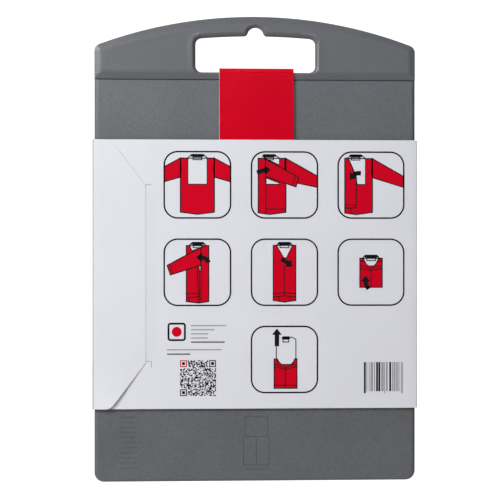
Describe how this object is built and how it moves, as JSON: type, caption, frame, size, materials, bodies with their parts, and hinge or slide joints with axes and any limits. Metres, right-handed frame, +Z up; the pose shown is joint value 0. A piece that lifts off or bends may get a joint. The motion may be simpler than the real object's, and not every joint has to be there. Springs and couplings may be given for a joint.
{
  "type": "shirt folding board",
  "caption": "Flat grey plastic folding board with a raised carrying handle, a grip slot and a hang notch, in a printed card sleeve held by a strap through the slot.",
  "frame": {"origin": "top of the half-round hang notch, on the board's middle plane and centre line", "axes": "+Z up towards the handle, +X to the right seen from the printed side, and the printed side faces -Y"},
  "size_m": [0.2564, 0.0095, 0.3675],
  "materials": {
    "panel_plastic": "fine moulded grain, satin",
    "handle_plastic": "smooth satin moulding",
    "printed_card": "coated white card with printed line drawings",
    "red_card": "coated card with a full red ink"
  },
  "bodies": {
    "board": {"folding_panel": "panel_plastic", "handle_section": "handle_plastic"},
    "sleeve": {"sleeve_front_panel": "red_card", "sleeve_back_panel": "printed_card", "sleeve_left_side": "red_card", "sleeve_right_side": "red_card", "lock_flap": "printed_card", "lock_tongue": "printed_card", "strap_front": "red_card", "strap_roof_front": "red_card", "strap_roof_back": "red_card"},
    "strap_upper": {"strap_back_upper": "red_card"},
    "strap_lower": {"strap_back_lower": "red_card"},
    "strap_end": {"strap_tail": "red_card"}
  },
  "joints": [
    {"name": "sleeve_slide", "type": "slide", "parent": "board", "child": "sleeve", "axis": [0, 0, 1], "range_m": [-0.0008, 0.0238]},
    {"name": "strap_bow", "type": "hinge", "parent": "sleeve", "child": "strap_upper", "pos_m": [0.0005, -0.00392, -0.0357], "axis": [-1, 0, 0], "range_deg": [0, 60]},
    {"name": "strap_knee", "type": "hinge", "parent": "strap_upper", "child": "strap_lower", "pos_m": [0.0005, -0.00392, -0.06245], "axis": [-1, 0, 0], "range_deg": [-120, 0]},
    {"name": "strap_tail_turn", "type": "hinge", "parent": "strap_lower", "child": "strap_end", "pos_m": [0.0005, -0.00392, -0.0892], "axis": [-1, 0, 0], "range_deg": [0, 60]}
  ],
  "couplings": [
    {"joint": "strap_knee", "follows": "strap_bow", "ratio": -2},
    {"joint": "strap_tail_turn", "follows": "strap_bow", "ratio": 1}
  ]
}
